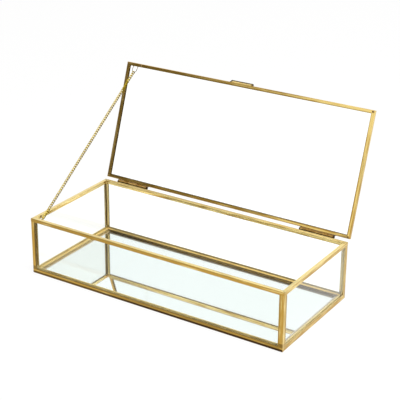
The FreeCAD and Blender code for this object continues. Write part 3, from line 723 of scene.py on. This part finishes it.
lid_dabs = [
    ((x, low.y + LID_STAPLE_IN - lid_axis[1], LID_STAPLE_UP), (0, 1, 0), 0.0008)
    for x in (lid_staple_x[0] + FOOT_IN, lid_staple_x[1] - FOOT_IN)
]
lid_dabs += [
    ((x, low.y - SHEET - lid_axis[1], LID_RISE), (0, -1, 0), 0.0007)
    for x in (tab_low.x + TAB_DAB_IN, tab_high.x - TAB_DAB_IN)
]
lid_dabs.append(((EDGE_DAB_X, low.y + EDGE_DAB_IN - lid_axis[1], LID_UNDER), (0, 0, -1), 0.0013))
for x in (-high.x + LID_CORNER_IN, high.x - LID_CORNER_IN):
    for y in (low.y + LID_CORNER_IN, rear_face - LID_CORNER_IN):
        lid_dabs.append(((x, y - lid_axis[1], LID_UNDER), (0, 0, -1), 0.0009))

SOLDER_TONES = {"Rubbed And Lit": (0.5, 0.36, 0.15), "Body": (0.26, 0.16, 0.055), "Tarnish": (0.05, 0.026, 0.008)}
SOLDER_GRAIN = (0.0012, 0.0012, 0.0012)
solder = brass_material("solder", SOLDER_GRAIN, age=0.6, tones=SOLDER_TONES)
dab_sizes = {"Thickness": 0.00022, "Lump": 0.0001, "Seed": 4, "Metal": solder}
open_lid = Matrix.Translation(lid_axis) @ Matrix.Rotation(swing, 4, "X")
dabs_tree = solder_tree()
for body, dabs, stand in (("box", box_dabs, Matrix()), ("lid", lid_dabs, open_lid)):
    spots = bpy.data.meshes.new(f"{body}_spots")
    spots.from_pydata([stand @ Vector(spot) for spot, facing, spread in dabs], [], [])
    spots.attributes.new("facing", "FLOAT_VECTOR", "POINT")
    spots.attributes.new("spread", "FLOAT", "POINT")
    for number, (spot, facing, spread) in enumerate(dabs):
        spots.attributes["facing"].data[number].vector = stand.to_3x3() @ Vector(facing)
        spots.attributes["spread"].data[number].value = spread
    soldered = bpy.data.objects.new(f"{body}_solder", grown(f"{body}_spots", spots, dabs_tree, dab_sizes))
    scene.collection.objects.link(soldered)
    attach(soldered, body)


# Curb chain. Oval links of brass wire, each twisted so that it lies flat on the next one, hooked on
# the two staples. One plain mesh of links for each run that moves by itself.
def curb_chain_tree():
    """Twisted oval links in a row along X, one of which may have ends of its own."""
    LINK_STEPS, WIRE_SIDES = 22, 8
    counts = dict.fromkeys(("Links", "End Link", "Seed"), "Int")
    lengths = dict.fromkeys(("Pitch", "Half Length", "Half Width", "Wire Radius"), "Float")
    rolls = dict.fromkeys(("Lower Roll", "Upper Roll", "End Lower Roll", "End Upper Roll"), "Float")
    tree, given, made = new_group(
        "curb_links", "GeometryNodeTree", {**counts, **lengths, **rolls, "Wire": "Material"},
        {"Geometry": "Geometry"},
    )

    def times(a, b):
        return maths(tree, "MULTIPLY", a, b)

    def twisted_link(lower, upper):
        round_path = put(tree, "GeometryNodeCurvePrimitiveCircle", {"Resolution": LINK_STEPS, "Radius": 1.0})
        x, y, _ = parts_of(tree, put(tree, "GeometryNodeInputPosition").outputs[0])
        middle = times(maths(tree, "ADD", lower, upper), 0.5)
        twist = times(maths(tree, "SUBTRACT", upper, lower), 0.5)
        roll = maths(tree, "ADD", middle, times(twist, x))
        across = times(y, given["Half Width"])
        spot = put(tree, "ShaderNodeCombineXYZ", {
            "X": times(x, given["Half Length"]),
            "Y": times(across, maths(tree, "COSINE", roll, 0.0)),
            "Z": times(across, maths(tree, "SINE", roll, 0.0)),
        })
        sided = put(tree, "GeometryNodeStoreNamedAttribute", {
            "Geometry": round_path.outputs[0], "Name": "link_side",
            "Value": maths(tree, "ADD", times(y, 0.5), 0.5),
        }, data_type="FLOAT", domain="POINT")
        moved = put(tree, "GeometryNodeSetPosition", {"Geometry": sided.outputs[0], "Position": spot.outputs[0]})
        section = put(tree, "GeometryNodeCurvePrimitiveCircle", {
            "Resolution": WIRE_SIDES, "Radius": given["Wire Radius"],
        })
        wire = put(tree, "GeometryNodeCurveToMesh", {
            "Curve": moved.outputs[0], "Profile Curve": section.outputs[0],
        })
        smooth = put(tree, "GeometryNodeSetShadeSmooth", {"Geometry": wire.outputs[0]})
        return put(tree, "GeometryNodeGeometryToInstance", {0: smooth.outputs[0]}).outputs[0]

    step = put(tree, "ShaderNodeCombineXYZ", {"X": given["Pitch"]})
    row = put(tree, "GeometryNodeMeshLine", {"Count": given["Links"], "Offset": step.outputs[0]})
    forms = put(tree, "GeometryNodeJoinGeometry")
    tree.links.new(twisted_link(given["End Lower Roll"], given["End Upper Roll"]), forms.inputs[0])
    tree.links.new(twisted_link(given["Lower Roll"], given["Upper Roll"]), forms.inputs[0])
    number = put(tree, "GeometryNodeInputIndex").outputs[0]
    pair = {2: number, 3: given["End Link"]}
    is_end = put(tree, "FunctionNodeCompare", pair, data_type="INT", operation="EQUAL")
    hung = put(tree, "GeometryNodeInstanceOnPoints", {
        "Points": row.outputs[0], "Instance": forms.outputs[0], "Instance Index": is_end.outputs[0],
        "Pick Instance": True,
    })
    chance = put(tree, "FunctionNodeRandomValue", {"Seed": given["Seed"]}, data_type="FLOAT")
    toned = put(tree, "GeometryNodeStoreNamedAttribute", {
        "Geometry": hung.outputs[0], "Name": "link_tone", "Value": chance.outputs[1],
    }, data_type="FLOAT", domain="INSTANCE")
    real = put(tree, "GeometryNodeRealizeInstances", {0: toned.outputs[0]})
    metal = put(tree, "GeometryNodeSetMaterial", {"Geometry": real.outputs[0], "Material": given["Wire"]})
    tree.links.new(metal.outputs[0], made["Geometry"])
    return tree


CHAIN_TONES = {"Rubbed And Lit": (0.8, 0.63, 0.13), "Body": (0.5, 0.37, 0.04), "Tarnish": (0.25, 0.175, 0.008)}
CHAIN_GRAIN, CHAIN_SHEEN = (0.0009, 0.0009, 0.0009), (0.85, 0.66, 0.2, 1)
SIDE_SHADE, SIDE_SHADE_DEPTH = (0.35, 0.65), 0.85
chain_brass = brass_material("chain_brass", CHAIN_GRAIN, age=0.3, tones=CHAIN_TONES)
tree = chain_brass.node_tree
shader = tree.nodes["Principled BSDF"].inputs
shader["Specular Tint"].default_value = CHAIN_SHEEN
shader["Coat Weight"].default_value = 0.0
brass = next(node for node in tree.nodes if node.type == "GROUP")
link_side = put(tree, "ShaderNodeAttribute", attribute_name="link_side").outputs["Fac"]
link_tone = put(tree, "ShaderNodeAttribute", attribute_name="link_tone").outputs["Fac"]
# Painted shade on one side of every link; each link's polish is set at random.
tree.links.new(ramp(tree, link_side, *SIDE_SHADE, 0.0, SIDE_SHADE_DEPTH, smooth=False), brass.inputs["Shade And Ink"])
tree.links.new(link_tone, brass.inputs["Polish And Sheen"])

WIRE_RADIUS, LINK_WIDTH, HOOK_PLAY, LINKS_PER_RUN = 0.000325, 0.0027, 0.0001, 4
LINK_TWIST, SQUARE = math.radians(45), math.pi / 2
RUNS = [name for name in frame["bodies"] if name.startswith("chain_run")]
hooks = [Vector(joints[f"{run}_hook"]["pos_m"]) for run in RUNS]
pull = (hooks[-1] - hooks[0]).normalized()
sideways = (Vector((1, 0, 0)) - pull * pull.x).normalized()
lie = Matrix((pull, sideways, pull.cross(sideways))).transposed().to_4x4()
pitch = (hooks[2] - hooks[1]).length / LINKS_PER_RUN
first_link_at = hooks[1] - pull * pitch * (LINKS_PER_RUN - 0.5)
link_sizes = {
    "Links": LINKS_PER_RUN, "Pitch": pitch, "Half Length": (pitch + HOOK_PLAY) / 2 + WIRE_RADIUS,
    "Half Width": LINK_WIDTH / 2 - WIRE_RADIUS, "Wire Radius": WIRE_RADIUS,
    "Lower Roll": -LINK_TWIST, "Upper Roll": LINK_TWIST, "Wire": chain_brass,
}
links_tree = curb_chain_tree()
for number, run in enumerate(RUNS):
    end = {0: 0, len(RUNS) - 1: LINKS_PER_RUN - 1}.get(number, -1)
    mesh = grown(f"{run}_row", bpy.data.meshes.new("row"), links_tree, {
        **link_sizes, "Seed": number, "End Link": end,
        "End Lower Roll": -SQUARE if end == 0 else -LINK_TWIST,
        "End Upper Roll": LINK_TWIST if end == 0 else SQUARE,
    })
    start = first_link_at + pull * pitch * LINKS_PER_RUN * number
    mesh.transform(Matrix.Translation(start) @ lie)
    links = bpy.data.objects.new(f"{run}_links", mesh)
    scene.collection.objects.link(links)
    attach(links, run)
    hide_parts(run)
